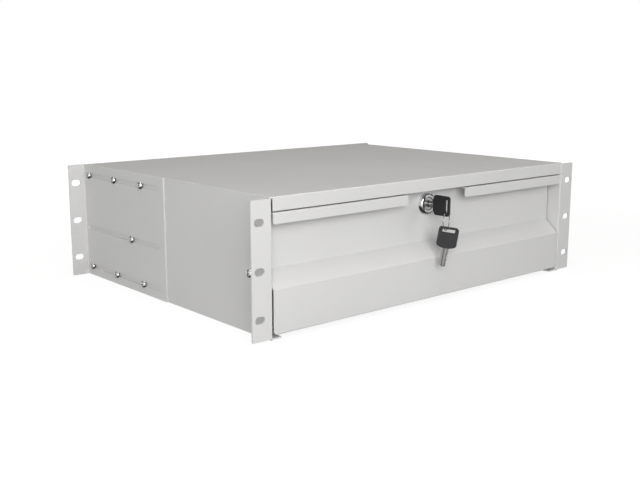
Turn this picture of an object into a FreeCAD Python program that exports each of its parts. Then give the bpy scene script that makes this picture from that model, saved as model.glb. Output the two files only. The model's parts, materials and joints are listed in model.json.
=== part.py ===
import FreeCAD, Part
import math
import os

import Sketcher
from FreeCAD import Placement, Rotation, Vector

# A 3U sliding rack drawer of folded sheet steel, in millimetres. The origin is the middle of the front
# mounting slots, on the back face of the rack ears: +X to the right, +Y into the rack, +Z up.

DIMENSIONS = [
    # rack standard
    ("rack_width", 482.6, "over the ears"),
    ("slot_inset", 8.75, "ear's end to its column of slots"),
    ("slot_pitch", 44.45, "slot to slot, one rack unit"),
    ("ear_slot_length", 11.0, "ear slot, along X"),
    ("ear_slot_height", 7.0, "ear slot, along Z"),
    # housing
    ("ear_reach", 21.5, "ear, beyond the side panel"),
    ("body_depth", 356.0, "ear front face to back edge"),
    ("cover_top", 66.2, "top face of the cover"),
    ("body_bottom", -66.2, "underside of the side panels"),
    ("ear_lift", 1.5, "ear above the side panel's underside"),
    ("panel_sheet", 1.5, "sheet of side panels and brackets"),
    ("cover_sheet", 1.2, "sheet of cover and rear panel"),
    ("flange_width", 13.0, "inward flanges of the side panels"),
    ("flange_setback", 2.0, "flanges start behind the ear"),
    ("bend_outside", 1.3, "outside radius of a bend"),
    ("lip_gap", 1.4, "front lip to side panel"),
    ("lip_height", 13.2, "front lip, below the cover's top"),
    ("rear_flange_depth", 12.0, "flanges of the rear panel"),
    # telescopic slides, depths measured inward from the side panel
    ("rail_length", 300.0, "every member of the slide"),
    ("rail_setback", 1.8, "slide behind the recessed face"),
    ("rail_middle", -8.5, "height of the slide's middle"),
    ("rail_sheet", 1.2, "sheet of the slide members"),
    ("rail_thickness", 12.7, "side panel to tray"),
    ("rail_gap", 0.3, "middle member to the inner member's web"),
    ("outer_half", 22.7, "half height of the outer member"),
    ("outer_reach", 10.5, "depth of the outer member"),
    ("outer_lip", 1.0, "turned-in edge of the outer member"),
    ("ball_radius", 1.85, "bearing ball"),
    ("ball_gap", 0.3, "ball to the members it runs between"),
    ("ball_play", 0.15, "cage hole round a ball"),
    ("cage_sheet", 0.5, "web of a ball cage"),
    ("cage_flange", 0.6, "ball-carrying edge of a cage"),
    ("cage_gap", 0.25, "cage to the members beside it"),
    ("cage_length", 130.0, "length of a ball cage"),
    ("cage_setback", 80.0, "cage behind the slide's front end"),
    ("ball_pitch", 36.0, "ball to ball along a cage"),
    ("outer_ball_line", 6.5, "depth of the outer balls"),
    ("inner_ball_line", 7.4, "depth of the inner balls"),
    # drawer front
    ("front_sheet", 1.2, "sheet of the drawer front"),
    ("front_gap", 1.6, "drawer front to side panel"),
    ("front_drop", 1.2, "drawer front below the lip"),
    ("front_lift", 4.35, "drawer front above the underside"),
    ("front_return", 31.5, "flange under the tray"),
    ("recess_depth", 17.0, "recessed face behind the front face"),
    ("lower_height", 42.6, "front face, lower edge to crease"),
    ("slope_height", 16.0, "slope, crease to recessed face"),
    ("handle_drop", 10.6, "height of the finger strips"),
    ("handle_inner", 44.0, "inner end of a finger strip"),
    ("handle_corner", 1.6, "lower corners of a finger strip"),
    ("front_clip", 2.6, "clipped lower corners of the front"),
    # tray
    ("tray_sheet", 1.0, "sheet of the tray"),
    ("tray_gap", 8.3, "tray to rear panel"),
    ("tray_height", 90.4, "underside to rim"),
    ("tray_hem", 8.0, "turned-in rim of the tray"),
    ("tray_front_flange", 12.0, "flanges behind the drawer front"),
    # rear brackets
    ("bracket_length", 180.5, "front edge to rear face"),
    ("bracket_extend", 5.0, "rear face behind the housing"),
    ("bracket_drop", 0.45, "bracket below the cover's top"),
    ("bracket_play", 0.05, "gap on each side of a bracket"),
    ("track_margin_front", 10.5, "bracket edge to long slot"),
    ("track_margin_back", 4.0, "rear face to long slot"),
    ("track_height", 5.0, "height of the long slots"),
    ("track_upper", 53.9, "height of the upper long slot"),
    ("track_lower", -54.9, "height of the lower long slot"),
    # screws
    ("screw_radius", 2.0, "M4 shank"),
    ("screw_hole_radius", 2.1, "hole for an M4 screw"),
    ("head_radius", 4.0, "pan head"),
    ("head_height", 2.6, "pan head"),
    ("head_crown", 2.5, "flat top of a pan head"),
    ("head_rim", 1.4, "straight rim of a pan head"),
    ("cross_length", 4.4, "cross recess"),
    ("cross_width", 1.1, "cross recess"),
    ("cross_depth", 1.5, "cross recess"),
    ("nut_radius", 3.8, "weld nut over its corners"),
    ("nut_height", 3.0, "weld nut"),
    ("bracket_screw_inset", 8.6, "last bracket screw before the back edge"),
    ("bracket_screw_pitch", 60.0, "bracket screw to bracket screw"),
    ("rail_screw_inset", 12.2, "first rail screw behind the slide's end"),
    ("rail_screw_pitch", 218.5, "rail screw to rail screw"),
    ("rivet_radius", 3.0, "rivet head inside the tray"),
    ("rivet_crown", 2.2, "flat top of a rivet head"),
    ("rivet_height", 1.2, "rivet head inside the tray"),
    ("rivet_setback", 40.0, "rivets from the slide's ends"),
    # lock
    ("lock_drop", 14.8, "axis of the lock below the front's top"),
    ("rim_radius", 11.0, "lock rim"),
    ("rim_height", 5.0, "lock rim before the recessed face"),
    ("rim_bevel", 1.4, "bevel of the lock rim"),
    ("barrel_radius", 9.3, "lock barrel"),
    ("barrel_play", 0.1, "hole and nut round the barrel"),
    ("barrel_flat", 8.1, "axis to the barrel's flats"),
    ("barrel_length", 13.9, "barrel behind the recessed face"),
    ("plug_radius", 6.5, "lock plug"),
    ("plug_play", 0.05, "plug in its bore"),
    ("plug_setback", 0.6, "plug face behind the rim"),
    ("cam_gap", 1.0, "cam behind the barrel"),
    ("lock_nut_radius", 12.5, "lock nut over its corners"),
    ("lock_nut_height", 4.0, "lock nut"),
    ("cam_sheet", 2.0, "cam plate"),
    ("cam_radius", 8.0, "cam round the plug"),
    ("cam_reach", 24.0, "axis to the cam's tip"),
    ("cam_tip", 6.0, "radius of the cam's tip"),
    ("cam_screw_radius", 3.8, "screw head behind the cam"),
    ("cam_screw_height", 2.0, "screw head behind the cam"),
    ("cam_screw_shank", 3.5, "screw in the plug"),
    ("strike_half_width", 16.0, "strike under the cover"),
    ("strike_lift", 3.0, "strike above the drawer front's top"),
    ("strike_play", 0.6, "strike to cam"),
    ("strike_flange", 14.0, "strike along the cover"),
    # keys
    ("blade_height", 6.8, "key blade"),
    ("blade_thickness", 2.0, "key blade"),
    ("blade_length", 20.0, "blade, bow to tip"),
    ("blade_tang", 6.0, "blade inside the bow"),
    ("blade_play", 0.25, "keyway round the blade"),
    ("keyway_spare", 1.0, "keyway beyond the blade's tip"),
    ("cut_pitch", 2.6, "bitting cut to bitting cut"),
    ("cut_depth", 1.3, "bitting cut"),
    ("bow_half_width", 10.5, "bow, axis to side"),
    ("bow_length", 22.5, "bow, along the key"),
    ("bow_thickness", 2.6, "bow"),
    ("bow_corner", 3.2, "bow corners"),
    ("bow_shoulder", 2.2, "blade side of the bow, middle to ends"),
    ("bow_belly", 4.7, "flat middle of the bow's blade side"),
    ("bow_belly_radius", 12.0, "corners of the flat middle"),
    ("bow_gap", 6.9, "bow before the plug's face"),
    ("bow_slot_side", 3.7, "slot in the bow, from its side"),
    ("bow_slot_width", 3.4, "slot in the bow"),
    ("bow_slot_corner", 0.8, "corners of the slot"),
    ("bow_slot_edge", 2.3, "slot from the bow's end"),
    ("ring_radius", 9.5, "key ring, to the wire's middle"),
    ("ring_wire", 0.55, "half the wire's width"),
    ("ring_drop", 6.6, "ring's middle below the bow's strip"),
    ("ring_turn", 22.0, "ring about Z, degrees"),
    ("ring_play", 0.7, "ring to the spare key"),
    ("spare_shift", 2.9, "ring beside the spare's middle"),
    ("spare_turn", 49.4, "spare key about Z, degrees"),
    ("spare_tilt", 9.0, "spare key in its own plane, degrees"),
]

BITTING = (0.55, 1.0, 0.4, 0.85, 0.6)
SIDES = (("left", -1), ("right", 1))
BALLS_IN_ROW = 4
BALL_BANDS = 5


class Size:
    """A length together with the spreadsheet formula that gives it."""

    def __init__(self, value, formula):
        self.value = float(value)
        self.formula = formula

    def __add__(self, other):
        other = as_size(other)
        return Size(self.value + other.value, f"({self.formula} + {other.formula})")

    def __radd__(self, other):
        return as_size(other) + self

    def __sub__(self, other):
        other = as_size(other)
        return Size(self.value - other.value, f"({self.formula} - {other.formula})")

    def __rsub__(self, other):
        return as_size(other) - self

    def __mul__(self, factor):
        factor = as_size(factor)
        return Size(self.value * factor.value, f"({self.formula} * {factor.formula})")

    __rmul__ = __mul__

    def __truediv__(self, divisor):
        divisor = as_size(divisor)
        return Size(self.value / divisor.value, f"({self.formula} / {divisor.formula})")

    def __neg__(self):
        return self * -1

    def root(self):
        return Size(math.sqrt(self.value), f"sqrt({self.formula})")


def as_size(value):
    if isinstance(value, Size):
        return value
    return Size(value, f"({value})")


def spreadsheet(document, rows):
    """Writes the dimensions into a sheet and returns them by alias."""
    sheet = document.addObject("Spreadsheet::Sheet", "Sheet")
    sizes = {}
    for number, (alias, value, note) in enumerate(rows, start=1):
        sheet.set(f"A{number}", alias)
        sheet.set(f"B{number}", str(value))
        sheet.set(f"C{number}", note)
        sheet.setAlias(f"B{number}", alias)
        sizes[alias] = Size(value, f"Sheet.{alias}")
    document.recompute()
    return sizes


doc = FreeCAD.newDocument("RackDrawer")
D = spreadsheet(doc, DIMENSIONS)
nodes = []

# ---------------------------------------------------------------- derived places
ear_half = D["rack_width"] / 2
half_width = ear_half - D["ear_reach"]
slot_column = ear_half - D["slot_inset"]
wall_inner = half_width - D["panel_sheet"]
face = -D["panel_sheet"]
back = face + D["body_depth"]
ear_bottom = D["body_bottom"] + D["ear_lift"]
panel_top = D["cover_top"] - D["cover_sheet"]
flange_inner = half_width - D["flange_width"]
rear_panel_front = back - D["cover_sheet"]

lip_bottom = D["cover_top"] - D["lip_height"]
front_top = lip_bottom - D["front_drop"]
front_bottom = D["body_bottom"] + D["front_lift"]
slope_bottom = front_bottom + D["lower_height"]
slope_top = slope_bottom + D["slope_height"]
recess = face + D["recess_depth"]
recess_back = recess + D["front_sheet"]
front_half_width = wall_inner - D["front_gap"]

tray_half = wall_inner - D["rail_thickness"]
tray_bottom = front_bottom + D["front_sheet"]
tray_top = tray_bottom + D["tray_height"]
tray_back = rear_panel_front - D["tray_gap"]

rail_front = recess_back + D["rail_setback"]
rail_back = rail_front + D["rail_length"]
cage_front = rail_front + D["cage_setback"]
cage_back = cage_front + D["cage_length"]
race = (D["ball_radius"] + D["ball_gap"]) * 2
middle_half = D["outer_half"] - D["rail_sheet"] - race
inner_half = middle_half - D["rail_sheet"] - race
outer_ball_height = middle_half + race / 2
inner_ball_height = inner_half + race / 2
outer_cage_start = D["rail_sheet"] + D["cage_gap"]
middle_start = outer_cage_start + D["cage_sheet"] + D["cage_gap"]
inner_cage_start = middle_start + D["rail_sheet"] + D["cage_gap"]
inner_start = inner_cage_start + D["cage_sheet"] + D["cage_gap"]
middle_reach = D["rail_thickness"] - D["rail_sheet"] - D["rail_gap"]

bracket_inner = half_width + D["bracket_play"]
bracket_outer = bracket_inner + D["panel_sheet"]
bracket_back = back + D["bracket_extend"]
bracket_front = bracket_back - D["bracket_length"]
bracket_top = D["cover_top"] - D["bracket_drop"]
head_seat = bracket_outer + D["bracket_play"]

lock_height = front_top - D["lock_drop"]
rim_front = recess - D["rim_height"]
barrel_back = recess + D["barrel_length"]
plug_face = rim_front + D["plug_setback"]
cam_front = barrel_back + D["cam_gap"]
cam_back = cam_front + D["cam_sheet"]
bow_inner = plug_face - D["bow_gap"]
bow_slot_half = D["bow_half_width"] - D["bow_slot_side"]
ring_line = bow_inner - D["bow_length"] + D["bow_slot_edge"] + D["bow_slot_width"] / 2
strip_middle = lock_height - D["bow_half_width"] + D["bow_slot_side"] / 2
ring_middle = strip_middle - D["ring_drop"]
ring_foot = ring_middle - D["ring_radius"]


# ---------------------------------------------------------------- sketch and feature helpers
def bind(target, path, size):
    target.setExpression(path, size.formula)


def new_body(label):
    """A body whose Label names its part file."""
    body = doc.addObject("PartDesign::Body", "Body_" + label)
    body.Label = label
    nodes.append(body)
    return body


def origin_plane(body, role):
    return [f for f in body.Origin.OriginFeatures if f.Role == role][0]


def new_sketch(body, role, offset):
    """A sketch parallel to one of the body's own origin planes, offset along the plane's normal."""
    sketch = body.newObject("Sketcher::SketchObject", body.Label + "_sketch")
    sketch.AttachmentSupport = [(origin_plane(body, role), "")]
    sketch.MapMode = "FlatFace"
    bind(sketch, "AttachmentOffset.Base.z", as_size(offset))
    return sketch


def fix_point(sketch, geometry, position, x, y):
    """Binds a vertex's distances from the sketch's origin."""
    for kind, size in (("DistanceX", as_size(x)), ("DistanceY", as_size(y))):
        index = sketch.addConstraint(Sketcher.Constraint(kind, -1, 1, geometry, position, size.value))
        bind(sketch, f"Constraints[{index}]", size)


def polygon(sketch, points):
    """A closed outline of straight lines through points given as sizes."""
    points = [(as_size(x), as_size(y)) for x, y in points]
    vectors = [Vector(x.value, y.value, 0) for x, y in points]
    count = len(points)
    first = sketch.GeometryCount
    for index in range(count):
        sketch.addGeometry(Part.LineSegment(vectors[index], vectors[(index + 1) % count]), False)
    for index in range(count):
        after = first + (index + 1) % count
        sketch.addConstraint(Sketcher.Constraint("Coincident", first + index, 2, after, 1))
        fix_point(sketch, first + index, 1, *points[index])


def rectangle(sketch, low, high):
    (left, bottom), (right, top) = low, high
    polygon(sketch, [(left, bottom), (right, bottom), (right, top), (left, top)])


def circle(sketch, x, y, radius):
    x, y, radius = as_size(x), as_size(y), as_size(radius)
    index = sketch.addGeometry(Part.Circle(Vector(x.value, y.value, 0), Vector(0, 0, 1), radius.value), False)
    fix_point(sketch, index, 3, x, y)
    constraint = sketch.addConstraint(Sketcher.Constraint("Radius", index, radius.value))
    bind(sketch, f"Constraints[{constraint}]", radius)


def hexagon(sketch, x, y, radius, turn=0):
    """A regular hexagon, its first corner at an angle from the sketch's X axis."""
    turns = [turn + math.pi / 3 * corner for corner in range(6)]
    polygon(sketch, [(x + radius * math.cos(t), y + radius * math.sin(t)) for t in turns])


def slot(sketch, low, high, middle, height):
    """A slot with round ends: low and high are its two ends along the sketch's X."""
    low, high, middle, radius = as_size(low), as_size(high), as_size(middle), as_size(height) / 2
    left, right = low + radius, high - radius
    bottom, top = middle - radius, middle + radius
    start = Vector(left.value, middle.value, 0)
    finish = Vector(right.value, middle.value, 0)
    arc_left = Part.ArcOfCircle(Part.Circle(start, Vector(0, 0, 1), radius.value), math.pi / 2, 1.5 * math.pi)
    arc_right = Part.ArcOfCircle(Part.Circle(finish, Vector(0, 0, 1), radius.value), -math.pi / 2, math.pi / 2)
    floor = Part.LineSegment(Vector(left.value, bottom.value, 0), Vector(right.value, bottom.value, 0))
    roof = Part.LineSegment(Vector(right.value, top.value, 0), Vector(left.value, top.value, 0))
    first = sketch.GeometryCount
    for shape in (arc_left, floor, arc_right, roof):
        sketch.addGeometry(shape, False)
    for index in range(4):
        after = first + (index + 1) % 4
        sketch.addConstraint(Sketcher.Constraint("Coincident", first + index, 2, after, 1))
    fix_point(sketch, first + 1, 1, left, bottom)
    fix_point(sketch, first + 1, 2, right, bottom)
    fix_point(sketch, first + 3, 1, right, top)
    fix_point(sketch, first + 3, 2, left, top)
    for arc, x in ((first, left), (first + 2, right)):
        index = sketch.addConstraint(Sketcher.Constraint("DistanceX", -1, 1, arc, 3, x.value))
        bind(sketch, f"Constraints[{index}]", x)


NORMALS = {"XY_Plane": 1, "XZ_Plane": -1, "YZ_Plane": 1}


def check(feature):
    if "Invalid" in feature.State or "Error" in feature.State:
        raise RuntimeError(f"{feature.Label}: {feature.getStatusString()}")


def ordered(a, b):
    a, b = as_size(a), as_size(b)
    return (a, b) if a.value < b.value else (b, a)


def prism(body, role, a, b, draw):
    """Adds the outline that draw makes, from a to b along the axis across the plane."""
    low, high = ordered(a, b)
    offset = low if NORMALS[role] > 0 else -high
    sketch = new_sketch(body, role, offset)
    draw(sketch)
    pad = body.newObject("PartDesign::Pad", body.Label + "_pad")
    pad.Profile = sketch
    bind(pad, "Length", high - low)
    body.Tip = pad
    doc.recompute()
    return pad


def cut(body, role, a, b, draw):
    """Removes the outline that draw makes, from a to b along the axis across the plane."""
    low, high = ordered(a, b)
    offset = high if NORMALS[role] > 0 else -low
    before = body.Shape.Volume
    sketch = new_sketch(body, role, offset)
    draw(sketch)
    pocket = body.newObject("PartDesign::Pocket", body.Label + "_pocket")
    pocket.Profile = sketch
    bind(pocket, "Length", high - low)
    body.Tip = pocket
    doc.recompute()
    if body.Shape.Volume >= before - 1e-6:
        raise RuntimeError("pocket removes nothing from " + body.Label)
    return pocket


def plate(body, low, high):
    """A rectangular wall between two corners."""
    (x0, y0, z0), (x1, y1, z1) = low, high
    x0, x1 = ordered(x0, x1)
    return prism(body, "XY_Plane", z0, z1, lambda s: rectangle(s, (x0, y0), (x1, y1)))


def edges_along(shape, axis, places):
    """Names of straight edges parallel to an axis (0, 1 or 2) that pass through the given places."""
    others = [i for i in range(3) if i != axis]
    found = []
    for number, edge in enumerate(shape.Edges, start=1):
        ends = [v.Point for v in edge.Vertexes]
        if len(ends) != 2 or not isinstance(edge.Curve, Part.Line):
            continue
        for place in places:
            offsets = [abs(end[i] - as_size(p).value) for end in ends for i, p in zip(others, place)]
            if max(offsets) < 0.01:
                found.append(f"Edge{number}")
    return found


def round_edges(body, radius, picks):
    """Rounds edges; each pick is an axis and the places where such edges pass."""
    base = body.Tip
    names = []
    for axis, places in picks:
        names += edges_along(base.Shape, axis, places)
    if not names:
        raise RuntimeError("no edge to round on " + body.Label)
    fillet = body.newObject("PartDesign::Fillet", body.Label + "_fillet")
    fillet.Base = (base, sorted(set(names)))
    bind(fillet, "Radius", as_size(radius))
    body.Tip = fillet
    doc.recompute()
    check(fillet)
    return fillet


def spin(body, draw):
    """Revolves the outline that draw makes about the sketch's Y axis."""
    sketch = new_sketch(body, "XY_Plane", 0)
    draw(sketch)
    revolution = body.newObject("PartDesign::Revolution", body.Label + "_revolution")
    revolution.Profile = sketch
    revolution.ReferenceAxis = (sketch, ["V_Axis"])
    revolution.Angle = 360
    body.Tip = revolution
    doc.recompute()
    return revolution


def repeat(label, master, placements):
    """One node holding a solid copy of the master at every placement."""
    node = doc.addObject("Part::Feature", "Group_" + label)
    node.Label = label
    copies = []
    for placement in placements:
        copy = master.Shape.copy()
        copy.Placement = placement.multiply(copy.Placement)
        copies.append(copy)
    node.Shape = Part.makeCompound(copies)
    nodes.append(node)
    return node


def x_turn(side):
    """Turns +Y to point out of the given side."""
    return Rotation(Vector(0, 1, 0), Vector(side, 0, 0))


# ---------------------------------------------------------------- housing
def ear_slots(side):
    """Three rack slots in an ear, drawn on the XZ plane."""
    middle = slot_column * side
    low, high = middle - D["ear_slot_length"] / 2, middle + D["ear_slot_length"] / 2

    def draw(sketch):
        for row in (-1, 0, 1):
            slot(sketch, low, high, D["slot_pitch"] * row, D["ear_slot_height"])

    return draw


def bracket_screw_places():
    """Y and Z of the six screws that clamp a rear bracket."""
    return [
        (back - D["bracket_screw_inset"] - D["bracket_screw_pitch"] * column, height)
        for height in (D["track_upper"], D["track_lower"])
        for column in range(3)
    ]


def rail_screw_places():
    """Y and Z of the two screws that carry a slide."""
    return [(rail_front + D["rail_screw_inset"] + D["rail_screw_pitch"] * column, D["rail_middle"]) for column in range(2)]


def rivet_places():
    """Y and Z of the rivets between the tray and an inner rail."""
    ends = (rail_front + D["rivet_setback"], rail_back - D["rivet_setback"])
    return [(y, D["rail_middle"]) for y in ends]


def holes(sketch, places):
    """Screw holes, drawn on the YZ plane."""
    for y, z in places:
        circle(sketch, y, z, D["screw_hole_radius"])


def side_panel(name, side):
    """Side wall with the rack ear folded outward and two flanges folded inward."""
    body = new_body(name + "_side_panel")
    outer, inner, reach = half_width * side, wall_inner * side, flange_inner * side
    ear_end = ear_half * side
    start, stop = face + D["flange_setback"], rear_panel_front - D["rear_flange_depth"]

    def plan(sketch):
        ear = [(outer, 0), (ear_end, 0), (ear_end, face), (inner, face)]
        polygon(sketch, ear + [(inner, back), (outer, back)])

    prism(body, "XY_Plane", D["body_bottom"], panel_top, plan)
    round_edges(body, D["bend_outside"], [(2, [(inner, face)])])
    ear_low, ear_high = ordered(outer, ear_end)
    below = [(ear_low, D["body_bottom"]), (ear_high, ear_bottom)]
    cut(body, "XZ_Plane", face, 0, lambda s: rectangle(s, *below))
    corners = [(ear_end, ear_bottom), (ear_end, panel_top)]
    round_edges(body, D["bend_outside"], [(1, corners)])
    plate(body, (reach, start, D["body_bottom"]), (outer, stop, D["body_bottom"] + D["panel_sheet"]))
    plate(body, (reach, start, panel_top - D["panel_sheet"]), (outer, stop, panel_top))
    cut(body, "XZ_Plane", face, 0, ear_slots(side))
    places = bracket_screw_places() + rail_screw_places()
    cut(body, "YZ_Plane", inner, outer, lambda s: holes(s, places))


def top_cover():
    """Flat lid with its front edge folded down between the ears."""
    body = new_body("top_cover")
    plate(body, (-half_width, face, panel_top), (half_width, back, D["cover_top"]))
    lip = wall_inner - D["lip_gap"]
    plate(body, (-lip, face, lip_bottom), (lip, face + D["cover_sheet"], D["cover_top"]))
    front_bend = (0, [(face, D["cover_top"])])
    side_bends = (1, [(half_width, D["cover_top"]), (-half_width, D["cover_top"])])
    round_edges(body, D["cover_sheet"] * 0.8, [front_bend])
    round_edges(body, D["cover_sheet"] * 0.5, [side_bends])


def rear_panel():
    """Back wall between the side panels, with flanges along the cover and the bottom."""
    body = new_body("rear_panel")
    sheet = D["cover_sheet"]
    low = ear_bottom
    depth = rear_panel_front - D["rear_flange_depth"]
    plate(body, (-wall_inner, rear_panel_front, low), (wall_inner, back, panel_top))
    plate(body, (-wall_inner, depth, panel_top - sheet), (wall_inner, back, panel_top))
    plate(body, (-wall_inner, depth, low), (wall_inner, back, low + sheet))
    round_edges(body, sheet * 0.8, [(0, [(back, panel_top), (back, low)])])


def lock_strike():
    """Angle under the cover that the cam turns up behind."""
    body = new_body("lock_strike")
    half = D["strike_half_width"]
    sheet = D["cover_sheet"]
    tab_back = cam_front - D["strike_play"]
    tab_front = tab_back - sheet
    low = front_top + D["strike_lift"]
    plate(body, (-half, tab_front, low), (half, tab_back, panel_top))
    plate(body, (-half, tab_back - D["strike_flange"], panel_top - sheet), (half, tab_back, panel_top))
    round_edges(body, sheet * 0.8, [(0, [(tab_back, panel_top)])])


# ---------------------------------------------------------------- telescopic slides
def channel(side, start, reach, half, sheet_web, sheet_flange, lip=0):
    """A C profile open away from the wall, drawn on the XZ plane: start and reach are depths."""
    middle = D["rail_middle"]

    def across(depth):
        return (wall_inner - depth) * side

    inside = half - sheet_flange

    def draw(sketch):
        upper = [(across(start), middle + half), (across(reach), middle + half)]
        lower = [(across(reach), middle - half), (across(start), middle - half)]
        web_upper = (across(start + sheet_web), middle + inside)
        web_lower = (across(start + sheet_web), middle - inside)
        edge_upper, edge_lower = [(across(reach), middle + inside)], [(across(reach), middle - inside)]
        if lip:
            turned = inside - lip
            shoulder = reach - D["rail_sheet"] * 0.75
            edge_upper = [
                (across(reach), middle + turned),
                (across(shoulder), middle + turned),
                (across(shoulder), middle + inside),
            ]
            edge_lower = [
                (across(shoulder), middle - inside),
                (across(shoulder), middle - turned),
                (across(reach), middle - turned),
            ]
        polygon(sketch, upper + edge_upper + [web_upper, web_lower] + edge_lower + lower)

    return draw


def outer_rail(name, side):
    """Member fixed to the side panel; its turned-in edges hold the outer balls."""
    body = new_body(name + "_outer_rail")
    sheet = D["rail_sheet"]
    draw = channel(side, as_size(0), D["outer_reach"], D["outer_half"], sheet, sheet, D["outer_lip"])
    prism(body, "XZ_Plane", rail_front, rail_back, draw)
    corners = [(wall_inner * side, D["rail_middle"] + D["outer_half"] * row) for row in (-1, 1)]
    round_edges(body, sheet * 0.8, [(1, corners)])
    web = (wall_inner * side, (wall_inner - sheet) * side)
    cut(body, "YZ_Plane", *web, lambda s: holes(s, rail_screw_places()))


def middle_rail(name, side):
    """Member that carries both rows of balls and moves half as far as the drawer."""
    body = new_body(name + "_middle_rail")
    sheet = D["rail_sheet"]
    start = middle_start
    prism(
        body,
        "XZ_Plane",
        rail_front,
        rail_back,
        channel(side, start, middle_reach, middle_half, sheet, sheet),
    )
    corners = [((wall_inner - start) * side, D["rail_middle"] + middle_half * row) for row in (-1, 1)]
    round_edges(body, sheet * 0.8, [(1, corners)])


def inner_rail(name, side):
    """Member riveted to the tray, open toward the side panel."""
    body = new_body(name + "_inner_rail")
    sheet = D["rail_sheet"]
    middle, half = D["rail_middle"], inner_half

    def across(depth):
        return (wall_inner - depth) * side

    def draw(sketch):
        web, edge = D["rail_thickness"], inner_start
        outline = [
            (across(web), middle + half),
            (across(edge), middle + half),
            (across(edge), middle + half - sheet),
            (across(web - sheet), middle + half - sheet),
            (across(web - sheet), middle - half + sheet),
            (across(edge), middle - half + sheet),
            (across(edge), middle - half),
            (across(web), middle - half),
        ]
        polygon(sketch, outline)

    prism(body, "XZ_Plane", rail_front, rail_back, draw)
    corners = [(across(D["rail_thickness"]), middle + half * row) for row in (-1, 1)]
    round_edges(body, sheet * 0.8, [(1, corners)])
    web = (across(D["rail_thickness"]), across(D["rail_thickness"] - sheet))
    cut(body, "YZ_Plane", *web, lambda s: holes(s, rivet_places()))


def ball_places(count):
    """Y of every ball in a row, spread evenly about the cage's middle."""
    middle = (cage_front + cage_back) / 2
    return [middle + D["ball_pitch"] * (index - (count - 1) / 2) for index in range(count)]


def ball_master(label):
    """A bearing ball at the origin, its outline drawn with few bands because it repeats so often."""
    body = doc.addObject("PartDesign::Body", "Master_" + label)
    body.Label = label
    radius = D["ball_radius"]
    turns = [math.pi * (band / BALL_BANDS - 0.5) for band in range(BALL_BANDS + 1)]
    spin(body, lambda s: polygon(s, [(radius * math.cos(t), radius * math.sin(t)) for t in turns]))
    return body


def ball_cage(name, side, layer, start, reach, height, line, ball):
    """Folded strip with a hole for each ball in both of its edges, and the balls in it."""
    body = new_body(f"{name}_{layer}_cage")
    half = height + D["cage_flange"] / 2
    draw = channel(side, start, reach, half, D["cage_sheet"], D["cage_flange"])
    prism(body, "XZ_Plane", cage_front, cage_back, draw)
    places = ball_places(BALLS_IN_ROW)
    across = (wall_inner - line) * side

    def seats(sketch):
        for y in places:
            circle(sketch, across, y, D["ball_radius"] + D["ball_play"])

    low, high = D["rail_middle"] - half, D["rail_middle"] + half
    cut(body, "XY_Plane", low, high, seats)
    centres = [
        Vector(across.value, y.value, (D["rail_middle"] + height * row).value)
        for y in places
        for row in (-1, 1)
    ]
    repeat(f"{name}_{layer}_balls", ball, [Placement(centre, Rotation()) for centre in centres])


# ---------------------------------------------------------------- drawer
def drawer_front():
    """Folded front: lower face, slope and recessed face, open at the ends, and two finger strips."""
    body = new_body("drawer_front")
    sheet = D["front_sheet"]
    end = front_half_width
    top, bottom = front_top, front_bottom
    rise = D["slope_height"]
    length = (rise * rise + D["recess_depth"] * D["recess_depth"]).root()
    shift = sheet * (length - rise) / D["recess_depth"]
    flange_end = face + D["front_return"]

    def profile(sketch):
        outside = [(flange_end, bottom), (face, bottom), (face, slope_bottom), (recess, slope_top)]
        inside = [
            (recess_back, slope_top - shift),
            (face + sheet, slope_bottom - shift),
            (face + sheet, bottom + sheet),
            (flange_end, bottom + sheet),
        ]
        polygon(sketch, outside + [(recess, top), (recess_back, top)] + inside)

    prism(body, "YZ_Plane", -end, end, profile)

    for side in (-1, 1):
        outer, inner = end * side, D["handle_inner"] * side
        plate(body, (inner, face, top - sheet), (outer, recess_back, top))
        plate(body, (inner, face, top - D["handle_drop"]), (outer, face + sheet, top))
    strip_ends = [(x * side, top - D["handle_drop"]) for x in (D["handle_inner"], end) for side in (-1, 1)]
    round_edges(body, D["handle_corner"], [(1, strip_ends)])
    bends = [
        (0, [(face, bottom), (face, top)]),
        (0, [(recess_back, slope_top - shift)]),
    ]
    round_edges(body, D["bend_outside"], bends)

    clip = D["front_clip"]

    def clipped(sketch):
        for side in (-1, 1):
            tip, corner = (end * side, bottom + clip), (end * side, bottom)
            polygon(sketch, [corner, tip, ((end - clip) * side, bottom)])

    cut(body, "XZ_Plane", face, flange_end, clipped)

    def lock_hole(sketch):
        circle(sketch, 0, lock_height, D["barrel_radius"] + D["barrel_play"])

    cut(body, "XZ_Plane", recess, recess_back, lock_hole)


def drawer_tray():
    """Open tray: bottom, two sides and a back, with a turned-in rim and flanges at the front."""
    body = new_body("drawer_tray")
    sheet = D["tray_sheet"]
    top, bottom = tray_top, tray_bottom
    start, stop = recess_back, tray_back
    half = tray_half
    rim = half - D["tray_hem"]
    plate(body, (-half, start, bottom), (half, stop, bottom + sheet))
    plate(body, (-half, stop - sheet, bottom), (half, stop, top))
    plate(body, (-half, stop - D["tray_hem"], top - sheet), (half, stop, top))
    for side in (-1, 1):
        plate(body, (half * side, start, bottom), ((half - sheet) * side, stop, top))
        wall = (half * side, (half - sheet) * side)
        cut(body, "YZ_Plane", *wall, lambda s: holes(s, rivet_places()))
        plate(body, (half * side, start, top - sheet), (rim * side, stop, top))
        flange = (half - D["tray_front_flange"]) * side
        plate(body, (half * side, start, slope_top), (flange, start + sheet, top))
    sides = [(half * side, z) for side in (-1, 1) for z in (top, bottom)]
    round_edges(body, sheet * 0.9, [(1, sides)])


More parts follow.
